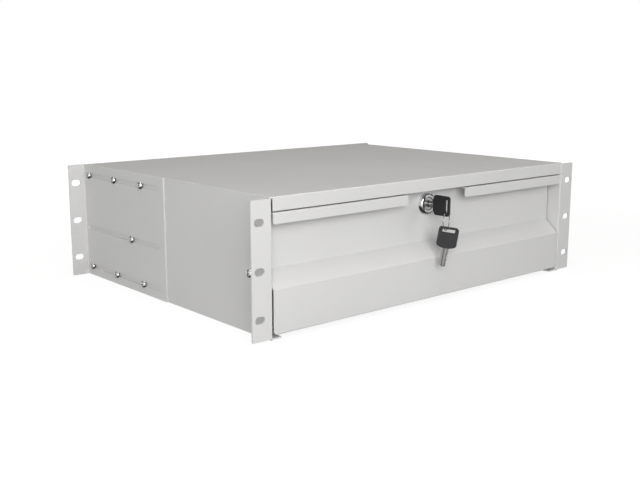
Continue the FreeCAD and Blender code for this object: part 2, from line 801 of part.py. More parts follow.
def rear_bracket(name, side):
    """Plate outside the side panel with three long slots and an ear for the rear rack posts."""
    body = new_body(name + "_rear_bracket")
    inner, outer = bracket_inner * side, bracket_outer * side
    low, high = D["body_bottom"], bracket_top
    ear_front = bracket_back - D["panel_sheet"]
    plate(body, (inner, bracket_front, low), (outer, bracket_back, high))
    plate(body, (inner, ear_front, low), (ear_half * side, bracket_back, high))
    round_edges(body, D["bend_outside"], [(2, [(inner, bracket_back)])])
    corners = [(ear_half * side, low), (ear_half * side, high)]
    round_edges(body, D["bend_outside"], [(1, corners)])
    cut(body, "XZ_Plane", ear_front, bracket_back, ear_slots(side))

    track_front = bracket_front + D["track_margin_front"]
    track_back = bracket_back - D["track_margin_back"]

    def tracks(sketch):
        for height in (D["track_upper"], D["rail_middle"], D["track_lower"]):
            slot(sketch, track_front, track_back, height, D["track_height"])

    cut(body, "YZ_Plane", inner, outer, tracks)


# ---------------------------------------------------------------- fasteners
def screw_master(label, shank):
    """A pan-head screw along Y: the head's seat at the origin and the head toward +Y."""
    body = doc.addObject("PartDesign::Body", "Master_" + label)
    body.Label = label

    def profile(sketch):
        outline = [
            (0, -shank),
            (D["screw_radius"], -shank),
            (D["screw_radius"], 0),
            (D["head_radius"], 0),
            (D["head_radius"], D["head_rim"]),
            (D["head_crown"], D["head_height"]),
            (0, D["head_height"]),
        ]
        polygon(sketch, outline)

    spin(body, profile)
    length, width = D["cross_length"] / 2, D["cross_width"] / 2
    top = D["head_height"]
    bottom = top - D["cross_depth"]
    cut(body, "XZ_Plane", bottom, top, lambda s: rectangle(s, (-length, -width), (length, width)))
    cut(body, "XZ_Plane", bottom, top, lambda s: rectangle(s, (-width, -length), (width, length)))
    return body


def weld_nut_master(label):
    """A six-sided weld nut along Y, its seat at the origin, with a bore for the screw."""
    body = doc.addObject("PartDesign::Body", "Master_" + label)
    body.Label = label
    prism(body, "XZ_Plane", 0, D["nut_height"], lambda s: hexagon(s, 0, 0, D["nut_radius"], math.pi / 6))
    cut(body, "XZ_Plane", 0, D["nut_height"], lambda s: circle(s, 0, 0, D["screw_radius"]))
    return body


def rivet_master(label):
    """A flat rivet along Y: seat at the origin, head toward +Y, shank through tray and rail."""
    body = doc.addObject("PartDesign::Body", "Master_" + label)
    body.Label = label
    shank = D["tray_sheet"] + D["rail_sheet"]

    def profile(sketch):
        outline = [
            (0, -shank),
            (D["screw_radius"], -shank),
            (D["screw_radius"], 0),
            (D["rivet_radius"], 0),
            (D["rivet_crown"], D["rivet_height"]),
            (0, D["rivet_height"]),
        ]
        polygon(sketch, outline)

    spin(body, profile)
    return body


def side_placements(x, places, outward=True):
    """Placements on both sides of the drawer, their +Y turned outward or inward."""
    found = []
    for _, side in SIDES:
        for y, z in places:
            direction = side if outward else -side
            found.append(Placement(Vector(x.value * side, y.value, z.value), x_turn(direction)))
    return found


def fasteners():
    nut_end = wall_inner - D["nut_height"]
    bracket_screw = screw_master("bracket_screw", head_seat - nut_end)
    front_screw = screw_master("front_rail_screw", half_width - wall_inner + D["rail_sheet"])
    rear_screw = screw_master("rear_rail_screw", head_seat - wall_inner + D["rail_sheet"])
    nut = weld_nut_master("weld_nut")
    rivet = rivet_master("rail_rivet")
    repeat("bracket_screws", bracket_screw, side_placements(head_seat, bracket_screw_places()))
    repeat("weld_nuts", nut, side_placements(wall_inner, bracket_screw_places(), outward=False))
    repeat("front_rail_screws", front_screw, side_placements(half_width, rail_screw_places()[:1]))
    repeat("rear_rail_screws", rear_screw, side_placements(head_seat, rail_screw_places()[1:]))
    repeat("rail_rivets", rivet, side_placements(tray_half - D["tray_sheet"], rivet_places(), outward=False))


# ---------------------------------------------------------------- lock
def on_lock_axis(sketch, radius):
    circle(sketch, 0, lock_height, radius)


def lock_housing():
    """Bevelled rim in front of the recessed face and a flatted barrel behind it."""
    body = new_body("lock_housing")
    prism(body, "XZ_Plane", rim_front, recess, lambda s: on_lock_axis(s, D["rim_radius"]))
    base = body.Tip
    edges = [n for n, e in enumerate(base.Shape.Edges, 1) if abs(e.CenterOfMass.y - rim_front.value) < 0.01]
    chamfer = body.newObject("PartDesign::Chamfer", "rim_bevel")
    chamfer.Base = (base, [f"Edge{edges[0]}"])
    bind(chamfer, "Size", D["rim_bevel"])
    body.Tip = chamfer
    doc.recompute()
    prism(body, "XZ_Plane", recess, barrel_back, lambda s: on_lock_axis(s, D["barrel_radius"]))
    low, high = lock_height - D["barrel_radius"], lock_height + D["barrel_radius"]
    for side in (-1, 1):
        inner, outer = ordered(D["barrel_flat"] * side, D["rim_radius"] * side)
        cut(body, "XZ_Plane", recess_back, barrel_back, lambda s: rectangle(s, (inner, low), (outer, high)))
    bore = D["plug_radius"] + D["plug_play"]
    cut(body, "XZ_Plane", rim_front, barrel_back, lambda s: on_lock_axis(s, bore))


def lock_nut():
    """Six-sided nut that pulls the rim against the drawer front."""
    body = new_body("lock_nut")
    end = recess_back + D["lock_nut_height"]
    outline = (0, lock_height, D["lock_nut_radius"])
    prism(body, "XZ_Plane", recess_back, end, lambda s: hexagon(s, *outline))
    bore = D["barrel_radius"] + D["barrel_play"]
    cut(body, "XZ_Plane", recess_back, end, lambda s: on_lock_axis(s, bore))


def lock_plug():
    """Turning plug with the keyway."""
    body = new_body("lock_plug")
    prism(body, "XZ_Plane", plug_face, cam_front, lambda s: on_lock_axis(s, D["plug_radius"]))
    half = D["blade_thickness"] / 2 + D["blade_play"]
    rise = D["blade_height"] / 2 + D["blade_play"]
    depth = D["blade_length"] - D["bow_gap"] + D["keyway_spare"]
    low, high = (-half, lock_height - rise), (half, lock_height + rise)
    cut(body, "XZ_Plane", plug_face, plug_face + depth, lambda s: rectangle(s, low, high))
    shank = cam_front - D["cam_screw_shank"]
    cut(body, "XZ_Plane", shank, cam_front, lambda s: on_lock_axis(s, D["screw_radius"]))


def lock_cam():
    """Cam plate, at rest pointing to the left; a quarter turn brings it up behind the strike."""
    body = new_body("lock_cam")
    prism(body, "XZ_Plane", cam_front, cam_back, lambda s: on_lock_axis(s, D["cam_radius"]))

    def arm(sketch):
        slot(sketch, -D["cam_reach"], D["cam_tip"], lock_height, D["cam_tip"] * 2)

    prism(body, "XZ_Plane", cam_front, cam_back, arm)
    cut(body, "XZ_Plane", cam_front, cam_back, lambda s: on_lock_axis(s, D["screw_radius"]))


def cam_screw():
    """Screw that holds the cam on the plug."""
    body = new_body("cam_screw")
    end = cam_back + D["cam_screw_height"]
    shank = cam_front - D["cam_screw_shank"]
    prism(body, "XZ_Plane", shank, end, lambda s: on_lock_axis(s, D["screw_radius"]))
    prism(body, "XZ_Plane", cam_back, end, lambda s: on_lock_axis(s, D["cam_screw_radius"]))


# ---------------------------------------------------------------- keys
def key_blade(label):
    """Blade along +Y from the bow's inner edge at the origin, with its bitting cuts below."""
    body = new_body(label)
    half = D["blade_height"] / 2
    length = D["blade_length"]
    thick = D["blade_thickness"] / 2
    points = [(-D["blade_tang"], half), (-D["blade_tang"], -half)]
    first = length - D["cut_pitch"] * (len(BITTING) + 0.5)
    for index, depth in enumerate(BITTING):
        place = first + D["cut_pitch"] * index
        points.append((place, -half))
        points.append((place + D["cut_pitch"] * 0.4, -half + D["cut_depth"] * depth))
        points.append((place + D["cut_pitch"] * 0.6, -half + D["cut_depth"] * depth))
    points.append((length - D["cut_pitch"] * 0.5, -half))
    points.append((length, -half * 0.3))
    points.append((length, half * 0.3))
    points.append((length - D["cut_pitch"] * 0.8, half))
    prism(body, "YZ_Plane", -thick, thick, lambda s: polygon(s, points))
    return body


def key_bow(label):
    """Moulded bow in the YZ plane with a slot for the ring and a socket for the blade."""
    body = new_body(label)
    half, length = D["bow_half_width"], D["bow_length"]
    thick = D["bow_thickness"] / 2
    shoulder, belly = -D["bow_shoulder"], D["bow_belly"]
    blade_side = [(shoulder, half), (0, belly), (0, -belly), (shoulder, -half)]
    outline = [(-length, -half), (-length, half)] + blade_side
    prism(body, "YZ_Plane", -thick, thick, lambda s: polygon(s, outline))
    corners = [(y, z) for y in (-length, shoulder) for z in (-half, half)]
    round_edges(body, D["bow_corner"], [(0, corners)])
    round_edges(body, D["bow_belly_radius"], [(0, [(as_size(0), belly), (as_size(0), -belly)])])
    low = D["bow_slot_edge"] - length
    high = low + D["bow_slot_width"]
    reach = bow_slot_half
    cut(body, "YZ_Plane", -thick, thick, lambda s: rectangle(s, (low, -reach), (high, reach)))
    ends = [(y, z) for y in (low, high) for z in (-reach, reach)]
    round_edges(body, D["bow_slot_corner"], [(0, ends)])
    blade = D["blade_height"] / 2
    tang = D["blade_tang"]
    plane_half = D["blade_thickness"] / 2
    cut(body, "YZ_Plane", -plane_half, plane_half, lambda s: rectangle(s, (-tang, -blade), (0, blade)))
    return body


def place(bodies, placement):
    for body in bodies:
        body.Placement = placement


def key_ring():
    """Flat-wire ring through the slots of both bows, turned a little about Z."""
    body = new_body("key_ring")
    radius, wire = D["ring_radius"], D["ring_wire"]
    spin(body, lambda s: rectangle(s, (radius - wire, -wire), (radius + wire, wire)))
    turn = Rotation(Vector(0, 0, 1), D["ring_turn"].value)
    place([body], Placement(Vector(0, ring_line.value, ring_middle.value), turn))


def keys():
    """The key in the lock, and the spare that hangs from it on the ring."""
    pair = [key_blade("key_blade"), key_bow("key_bow")]
    place(pair, Placement(Vector(0, bow_inner.value, lock_height.value), Rotation()))
    key_ring()
    spare = [key_blade("spare_key_blade"), key_bow("spare_key_bow")]
    hang = Rotation(Vector(0, 0, 1), D["spare_turn"].value) * Rotation(Vector(1, 0, 0), -90)
    tilt = hang * Rotation(Vector(1, 0, 0), D["spare_tilt"].value)
    slot_wall = D["bow_length"] - D["bow_slot_edge"]
    foot = Vector(0, ring_line.value, ring_foot.value)
    hold = D["ring_wire"] + D["ring_play"] - slot_wall
    grip = Vector(0, hold.value, D["spare_shift"].value)
    place(spare, Placement(foot - tilt.multVec(grip), tilt))


# ---------------------------------------------------------------- assembly
bearing_ball = ball_master("bearing_ball")
for side_name, side_sign in SIDES:
    side_panel(side_name, side_sign)
    outer_rail(side_name, side_sign)
    middle_rail(side_name, side_sign)
    inner_rail(side_name, side_sign)
    ball_cage(
        side_name,
        side_sign,
        "outer",
        outer_cage_start,
        D["outer_reach"] - D["rail_sheet"],
        outer_ball_height,
        D["outer_ball_line"],
        bearing_ball,
    )
    ball_cage(
        side_name,
        side_sign,
        "inner",
        inner_cage_start,
        middle_reach - D["rail_sheet"] / 2,
        inner_ball_height,
        D["inner_ball_line"],
        bearing_ball,
    )
    rear_bracket(side_name, side_sign)
top_cover()
rear_panel()
lock_strike()
drawer_front()
drawer_tray()
fasteners()
lock_housing()
lock_nut()
lock_plug()
lock_cam()
cam_screw()
keys()
doc.recompute()

# ---------------------------------------------------------------- output
for item in doc.Objects:
    if "Invalid" in item.State or "Error" in item.State:
        raise RuntimeError("bad state: " + item.Label + " " + str(item.State))
os.makedirs("parts", exist_ok=True)
for item in nodes:
    shape = item.Shape
    if shape.isNull() or not shape.isValid():
        raise RuntimeError("bad shape: " + item.Label)
    shape.exportStep("parts/" + item.Label + ".step")
print(len(nodes), "parts written")
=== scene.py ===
"""Looks of a 3U sliding rack drawer: powder-coated sheet, plated hardware, cam lock and keys.

Every length is in metres, in the frame of the CAD part, and every place comes from the part's
own boxes and record.
"""

import json
import logging
import math
from dataclasses import dataclass, field
from enum import Enum

import bmesh
import bpy
from mathutils import Matrix, Vector


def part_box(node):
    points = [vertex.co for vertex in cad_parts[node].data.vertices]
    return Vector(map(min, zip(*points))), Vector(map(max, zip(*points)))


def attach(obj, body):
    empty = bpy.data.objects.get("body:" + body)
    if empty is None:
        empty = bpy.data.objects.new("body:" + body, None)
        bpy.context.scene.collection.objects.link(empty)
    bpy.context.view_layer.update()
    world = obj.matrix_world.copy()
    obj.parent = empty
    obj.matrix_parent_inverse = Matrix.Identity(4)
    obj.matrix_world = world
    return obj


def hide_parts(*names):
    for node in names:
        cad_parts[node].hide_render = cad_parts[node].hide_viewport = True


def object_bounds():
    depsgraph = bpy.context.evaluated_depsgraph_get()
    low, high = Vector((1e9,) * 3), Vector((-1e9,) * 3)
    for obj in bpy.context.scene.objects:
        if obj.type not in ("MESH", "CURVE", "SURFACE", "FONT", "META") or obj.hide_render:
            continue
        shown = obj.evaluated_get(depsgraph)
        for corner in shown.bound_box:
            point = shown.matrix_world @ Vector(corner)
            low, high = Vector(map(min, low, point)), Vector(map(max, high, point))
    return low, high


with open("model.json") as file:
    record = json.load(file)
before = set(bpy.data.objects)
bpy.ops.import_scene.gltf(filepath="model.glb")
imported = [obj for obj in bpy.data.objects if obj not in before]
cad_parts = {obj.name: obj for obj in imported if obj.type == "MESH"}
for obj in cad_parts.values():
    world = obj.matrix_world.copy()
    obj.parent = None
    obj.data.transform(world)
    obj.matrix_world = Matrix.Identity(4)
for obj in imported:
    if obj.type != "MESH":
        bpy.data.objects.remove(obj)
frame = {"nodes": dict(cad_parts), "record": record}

log = logging.getLogger("rack_drawer")

CAD_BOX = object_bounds()
BODY_OF_NODE = {
    node: body for body, nodes in frame["record"]["behaviour"]["bodies"].items() for node in nodes
}
DOWN = (0.0, 0.0, -1.0)
FRONT = (0.0, -1.0, 0.0)
SIDES = ("left", "right")
SAME_PLACE = 1e-6
NOISE_RANGE = (0.3, 0.7)
# Occlusion values over which the metals' painted groove shade fades into their plain colour.
PAINTED_GROOVE_SHADE_RANGE = (0.45, 0.95)


class Slot(Enum):
    """Material slots of the part's record."""

    POWDER_COAT = "powder_coat"
    ZINC_SLIDE = "zinc_slide"
    BALL_STEEL = "ball_steel"
    SCREW_CHROME = "screw_chrome"
    ZINC_SMALL = "zinc_small"
    LOCK_CHROME = "lock_chrome"
    PLUG_NICKEL = "plug_nickel"
    KEY_NICKEL = "key_nickel"
    KEY_PLASTIC = "key_plastic"


class Grain(Enum):
    """Direction in which a metal was rolled, drawn or brushed."""

    ALONG_Y = (1.0, 0.06, 1.0)
    NONE = (1.0, 1.0, 1.0)


# ---------------------------------------------------------------- finishes
class Shader:
    """A material's node tree while it is being put together."""

    def __init__(self, name: str) -> None:
        """Starts a material with its Principled surface and the piece's own coordinates.

        Args:
            name: the material's name.
        """
        self.material = bpy.data.materials.new(name)
        self.material.use_nodes = True
        self.tree = self.material.node_tree
        self.surface = self.tree.nodes["Principled BSDF"]
        texture = self.tree.nodes.new("ShaderNodeTexCoord")
        self.place, self.normal = texture.outputs["Object"], texture.outputs["Normal"]

    def stretched(self, grain: Grain) -> bpy.types.NodeSocket:
        """Coordinates drawn out along the grain.

        Args:
            grain: the direction of the lines.

        Returns:
            The socket that carries the coordinates.
        """
        mapping = self.tree.nodes.new("ShaderNodeMapping")
        mapping.inputs["Scale"].default_value = grain.value
        self.tree.links.new(self.place, mapping.inputs["Vector"])
        return mapping.outputs["Vector"]

    def noise(self, size: float, detail: float = 3.0, grain: Grain = Grain.NONE) -> bpy.types.NodeSocket:
        """A noise pattern.

        Args:
            size: the pattern's rough size in metres.
            detail: the noise's octaves.
            grain: the direction in which the pattern is drawn out.

        Returns:
            The socket with values round one half.
        """
        pattern = self.tree.nodes.new("ShaderNodeTexNoise")
        pattern.inputs["Scale"].default_value = 1.0 / size
        pattern.inputs["Detail"].default_value = detail
        place = self.place if grain is Grain.NONE else self.stretched(grain)
        self.tree.links.new(place, pattern.inputs["Vector"])
        return pattern.outputs["Fac"]

    def between(self, source: bpy.types.NodeSocket, low: float, high: float) -> bpy.types.NodeSocket:
        """Spreads the middle of a noise over a range of values.

        Args:
            source: the noise.
            low: value at the low end of the noise's usual range.
            high: value at its high end.

        Returns:
            The socket with the spread values.
        """
        spread = self.tree.nodes.new("ShaderNodeMapRange")
        spread.inputs["From Min"].default_value, spread.inputs["From Max"].default_value = NOISE_RANGE
        spread.inputs["To Min"].default_value = low
        spread.inputs["To Max"].default_value = high
        self.tree.links.new(source, spread.inputs["Value"])
        return spread.outputs["Result"]

    def blend(
        self, source: bpy.types.NodeSocket, dark: tuple, light: tuple | bpy.types.NodeSocket
    ) -> bpy.types.NodeSocket:
        """A colour that runs between two shades.

        Args:
            source: the pattern that runs from one to the other.
            dark: the shade where the pattern is low.
            light: the shade where it is high, or a socket that carries it.

        Returns:
            The socket with the colour.
        """
        mix = self.tree.nodes.new("ShaderNodeMix")
        mix.data_type = "RGBA"
        self.tree.links.new(source, mix.inputs["Factor"])
        mix.inputs["A"].default_value = (*dark, 1.0)
        if isinstance(light, tuple):
            mix.inputs["B"].default_value = (*light, 1.0)
        else:
            self.tree.links.new(light, mix.inputs["B"])
        return mix.outputs["Result"]

    def relief(
        self, source: bpy.types.NodeSocket, depth: float, below: bpy.types.NodeSocket | None = None
    ) -> bpy.types.NodeSocket:
        """Raises the surface by a pattern.

        Args:
            source: the pattern.
            depth: its height in metres.
            below: the relief that this one lies on, if there is one.

        Returns:
            The socket with the changed normal.
        """
        bump = self.tree.nodes.new("ShaderNodeBump")
        bump.inputs["Distance"].default_value = depth
        self.tree.links.new(source, bump.inputs["Height"])
        if below is not None:
            self.tree.links.new(below, bump.inputs["Normal"])
        return bump.outputs["Normal"]

    def turned_from(self, axis: tuple, low: float, high: float) -> bpy.types.NodeSocket:
        """Tells surfaces that face one way from all others, the mask for the metals' painted shade on
        downward and front faces.

        Args:
            axis: the way they face, as a unit vector.
            low: how far a normal may point that way and still count as turned away.
            high: how far it must point that way to count fully.

        Returns:
            The socket, zero on surfaces that face the axis and one on those turned away.
        """
        along = self.tree.nodes.new("ShaderNodeVectorMath")
        along.operation = "DOT_PRODUCT"
        along.inputs[1].default_value = axis
        self.tree.links.new(self.normal, along.inputs[0])
        return self.ramp(along.outputs["Value"], (low, high), (1.0, 0.0))

    def painted_groove_shade_mask(self, reach: float) -> bpy.types.NodeSocket:
        """Tells open surfaces from the bottoms of grooves, the mask for the metals' painted groove shade.

        Args:
            reach: the width of a groove that still counts.

        Returns:
            The socket, zero deep in a groove and one in the open.
        """
        probe = self.tree.nodes.new("ShaderNodeAmbientOcclusion")
        probe.samples = 8
        probe.inputs["Distance"].default_value = reach
        return self.ramp(probe.outputs["AO"], PAINTED_GROOVE_SHADE_RANGE, (0.0, 1.0))

    def ramp(self, source: bpy.types.NodeSocket, reach: tuple, values: tuple) -> bpy.types.NodeSocket:
        """Runs smoothly from one value to another.

        Args:
            source: the socket that leads.
            reach: its values at which the run starts and ends.
            values: the values there.

        Returns:
            The socket with the run.
        """
        rise = self.tree.nodes.new("ShaderNodeMapRange")
        rise.interpolation_type = "SMOOTHSTEP"
        rise.inputs["From Min"].default_value, rise.inputs["From Max"].default_value = reach
        rise.inputs["To Min"].default_value, rise.inputs["To Max"].default_value = values
        self.tree.links.new(source, rise.inputs["Value"])
        return rise.outputs["Result"]

    def feed(self, name: str, source: bpy.types.NodeSocket) -> None:
        """Links a socket of the surface to a pattern."""
        self.tree.links.new(source, self.surface.inputs[name])

    def fix(self, name: str, value: float) -> None:
        """Sets a socket of the surface to one value."""
        self.surface.inputs[name].default_value = value


def shade(colour: tuple, factor: float) -> tuple:
    """The colour made darker or lighter by a factor."""
    return tuple(min(1.0, channel * factor) for channel in colour)


@dataclass(frozen=True)
class PowderCoat:
    """Baked light grey powder coat with a fine orange peel."""

    slot: Slot = Slot.POWDER_COAT
    colour: tuple = (0.655, 0.652, 0.645)
    peel: float = 0.0011
    peel_depth: float = 0.000012
    grit: float = 0.00022
    cloud: float = 0.085
    clouding: tuple = (0.985, 1.012)
    rough: tuple = (0.36, 0.46)
    grit_share: float = 0.15
    gloss: float = 0.42

    def material(self) -> bpy.types.Material:
        """Builds the coat.

        Returns:
            The material.
        """
        shader = Shader(self.slot.value)
        cloud = shader.noise(self.cloud, 2.0)
        grit = shader.noise(self.grit, 2.0)
        mixed = shader.between(cloud, 0.0, 1.0)
        dark, light = (shade(self.colour, factor) for factor in self.clouding)
        shader.feed("Base Color", shader.blend(mixed, dark, light))
        shader.feed("Roughness", shader.between(grit, *self.rough))
        peel = shader.relief(shader.noise(self.peel, 3.0), self.peel_depth)
        shader.feed("Normal", shader.relief(grit, self.peel_depth * self.grit_share, peel))
        shader.fix("Specular IOR Level", self.gloss)
        return shader.material


@dataclass(frozen=True)
class PlatedSteel:
    """Plated or brushed metal with drawn lines and slight clouding, and painted shade on downward faces and
    in grooves.
    """

    slot: Slot
    colour: tuple
    rough: tuple = (0.24, 0.38)
    grain: Grain = Grain.ALONG_Y
    line: float = 0.0007
    line_depth: float = 0.000004
    cloud: float = 0.012
    # Painted shade: downward faces and groove bottoms keep this share of the colour; groove is the reach of
    # the occlusion probe.
    under: float = 0.75
    groove: float = 0.0012
    clouding: tuple = (0.9, 1.06)
    painted_underside_shade_reach: tuple = (-0.2, 0.7)

    def material(self) -> bpy.types.Material:
        """Builds the plated metal.

        Returns:
            The material.
        """
        shader = Shader(self.slot.value)
        cloud = shader.between(shader.noise(self.cloud, 4.0), 0.0, 1.0)
        lines = shader.noise(self.line, 4.0, self.grain)
        tint = shader.blend(cloud, *(shade(self.colour, factor) for factor in self.clouding))
        # Painted shade: darker colour on faces turned downward, then at the bottoms of grooves.
        dark = shade(self.colour, self.under)
        tint = shader.blend(shader.turned_from(DOWN, *self.painted_underside_shade_reach), dark, tint)
        shader.feed("Base Color", shader.blend(shader.painted_groove_shade_mask(self.groove), dark, tint))
        shader.feed("Roughness", shader.between(lines, *self.rough))
        shader.feed("Normal", shader.relief(lines, self.line_depth))
        shader.fix("Metallic", 1.0)
        return shader.material


@dataclass(frozen=True)
class Polished:
    """Mirror-like plating with faint smears, and painted reflection and shade: dark downward faces, darker
    front faces and shaded grooves.
    """

    slot: Slot
    colour: tuple
    rough: tuple = (0.05, 0.12)
    smear: float = 0.004
    # Painted reflection and shade: under is the share of colour on downward faces, front the share on front
    # faces, groove the probe's reach.
    under: float = 0.05
    front: float = 1.0
    groove: float = 0.0012
    smearing: tuple = (0.94, 1.04)
    painted_front_shade_reach: tuple = (0.8, 0.98)
    painted_underside_shade_reach: tuple = (0.0, 0.3)
    ripple_share: float = 0.2
    ripple_depth: float = 0.0000015

    def material(self) -> bpy.types.Material:
        """Builds the polished metal.

        Returns:
            The material.
        """
        shader = Shader(self.slot.value)
        smear = shader.noise(self.smear, 4.0)
        mixed = shader.between(smear, 0.0, 1.0)
        tint = shader.blend(mixed, *(shade(self.colour, factor) for factor in self.smearing))
        # Painted reflection and shade: front faces, downward faces and groove bottoms take darker copies of
        # the colour.
        dark = shade(self.colour, self.under)
        painted_front_shade_mask = shader.turned_from(FRONT, *self.painted_front_shade_reach)
        tint = shader.blend(painted_front_shade_mask, shade(self.colour, self.front), tint)
        tint = shader.blend(shader.turned_from(DOWN, *self.painted_underside_shade_reach), dark, tint)
        shader.feed("Base Color", shader.blend(shader.painted_groove_shade_mask(self.groove), dark, tint))
        shader.feed("Roughness", shader.between(smear, *self.rough))
        ripple = shader.noise(self.smear * self.ripple_share, 2.0)
        shader.feed("Normal", shader.relief(ripple, self.ripple_depth))
        shader.fix("Metallic", 1.0)
        return shader.material


@dataclass(frozen=True)
class MouldedPlastic:
    """Black plastic with the fine texture of a spark-eroded mould."""

    slot: Slot = Slot.KEY_PLASTIC
    colour: tuple = (0.013, 0.013, 0.014)
    texture: float = 0.00035
    texture_depth: float = 0.00002
    cloud: float = 0.006
    clouding: tuple = (0.85, 1.2)
    rough: tuple = (0.42, 0.58)
    gloss: float = 0.3

    def material(self) -> bpy.types.Material:
        """Builds the plastic.

        Returns:
            The material.
        """
        shader = Shader(self.slot.value)
        texture = shader.noise(self.texture, 3.0)
        cloud = shader.between(shader.noise(self.cloud, 3.0), 0.0, 1.0)
        dark, light = (shade(self.colour, factor) for factor in self.clouding)
        shader.feed("Base Color", shader.blend(cloud, dark, light))
        shader.feed("Roughness", shader.between(texture, *self.rough))
        shader.feed("Normal", shader.relief(texture, self.texture_depth))
        shader.fix("Specular IOR Level", self.gloss)
        return shader.material


@dataclass(frozen=True)
class Finishes:
    """Every finish of the drawer."""

    made: dict = field(default_factory=dict)
    all: tuple = (
        PowderCoat(),
        PlatedSteel(Slot.ZINC_SLIDE, (0.60, 0.61, 0.625)),
        # Polished metals paint near-black shade on downward faces, since under stays 0.05.
        Polished(Slot.BALL_STEEL, (0.75, 0.75, 0.76), (0.04, 0.09)),
        Polished(Slot.SCREW_CHROME, (0.72, 0.72, 0.73), (0.09, 0.17)),
        PlatedSteel(Slot.ZINC_SMALL, (0.58, 0.59, 0.60), (0.25, 0.42), Grain.NONE),
        # front=0.5 paints a darker reflection on the lock rim's front faces.
        Polished(Slot.LOCK_CHROME, (0.80, 0.80, 0.81), (0.05, 0.10), front=0.5),
        # under sets the painted shade on downward faces and in grooves of the plug and the keys.
        PlatedSteel(Slot.PLUG_NICKEL, (0.36, 0.36, 0.355), (0.16, 0.28), Grain.NONE, 0.0003, under=0.3),
        PlatedSteel(Slot.KEY_NICKEL, (0.30, 0.295, 0.285), (0.14, 0.24), Grain.ALONG_Y, 0.0003, under=0.15),
        MouldedPlastic(),
    )

    def material(self, slot: Slot) -> bpy.types.Material:
        """The material of a slot, made at its first use.

        Args:
            slot: the record's slot.

        Returns:
            The material.
        """
        if slot not in self.made:
            finish = next(f for f in self.all if f.slot is slot)
            self.made[slot] = finish.material()
        return self.made[slot]


# ---------------------------------------------------------------- mesh work
def around(steps: int) -> list:
    """Equal steps of a full turn, in radians."""
    return [2 * math.pi * step / steps for step in range(steps)]


def circle(radius: float, height: float, angles: list) -> list:
    """Points of a level circle about Z.

    Args:
        radius: the circle's radius.
        height: its height.
        angles: the directions of its points.

    Returns:
        The points, in the order of the angles.
    """
    return [Vector((radius * math.cos(a), radius * math.sin(a), height)) for a in angles]


def lathe(shape: bmesh.types.BMesh, profile: list, turn: Matrix, steps: int = 64) -> None:
    """Adds a closed turned form.

    Args:
        shape: the mesh that receives the form.
        profile: radius and height pairs from the axis's foot to its head.
        turn: places the form, whose axis is Z, in the drawer.
        steps: sides of the turned form.
    """
    angles = around(steps)
    loft(shape, [circle(radius, height, angles) for radius, height in profile], turn)


def loft(shape: bmesh.types.BMesh, loops: list, turn: Matrix, capped: bool = True) -> None:
    """Adds a skin over closed loops that have the same number of points.

    Args:
        shape: the mesh that receives the skin.
        loops: lists of points, in order along the form.
        turn: places the form in the drawer.
        capped: whether the first and the last loop are closed by a face.
    """
    rows = [[shape.verts.new(turn @ point) for point in loop] for loop in loops]
    count = len(rows[0])
    for lower, upper in zip(rows, rows[1:]):
        for step in range(count):
            after = (step + 1) % count
            shape.faces.new((lower[step], lower[after], upper[after], upper[step]))
    if capped:
        shape.faces.new(list(reversed(rows[0])))
        shape.faces.new(rows[-1])


def facing(axis: Vector, at: Vector) -> Matrix:
    """A placement that turns Z to an axis and moves the origin to a point."""
    return Matrix.Translation(at) @ axis.to_track_quat("Z", "Y").to_matrix().to_4x4()


def solids_of(node: str) -> list:
    """The boxes of a node's separate solids.

    Args:
        node: the CAD node.

    Returns:
        Pairs of lowest and highest corner, in order of the lowest, so that each run gives the same.
    """
    shape = bmesh.new()
    shape.from_mesh(frame["nodes"][node].data)
    bmesh.ops.remove_doubles(shape, verts=shape.verts, dist=SAME_PLACE)
    waiting, boxes = set(shape.verts), []
    while waiting:
        front, seen = [waiting.pop()], []
        while front:
            vert = front.pop()
            seen.append(vert.co.copy())
            for edge in vert.link_edges:
                other = edge.other_vert(vert)
                if other in waiting:
                    waiting.discard(other)
                    front.append(other)
        low = Vector(min(point[axis] for point in seen) for axis in range(3))
        high = Vector(max(point[axis] for point in seen) for axis in range(3))
        boxes.append((low, high))
    shape.free()
    return sorted(boxes, key=lambda box: tuple(box[0]))


def corners(element: bmesh.types.BMEdge | bmesh.types.BMFace) -> list:
    """The places of an edge's or a face's corners, sorted."""
    return sorted(tuple(vert.co) for vert in element.verts)


def put_in_order(shape: bmesh.types.BMesh) -> None:
    """Sorts a mesh by place, since a second bevel leaves its faces in another order on each run.

    Args:
        shape: the mesh.
    """
    points = (shape.verts, lambda vert: tuple(vert.co))
    for elements, place in (points, (shape.edges, corners), (shape.faces, corners)):
        rank = {element: number for number, element in enumerate(sorted(elements, key=place))}
        elements.sort(key=rank.get)


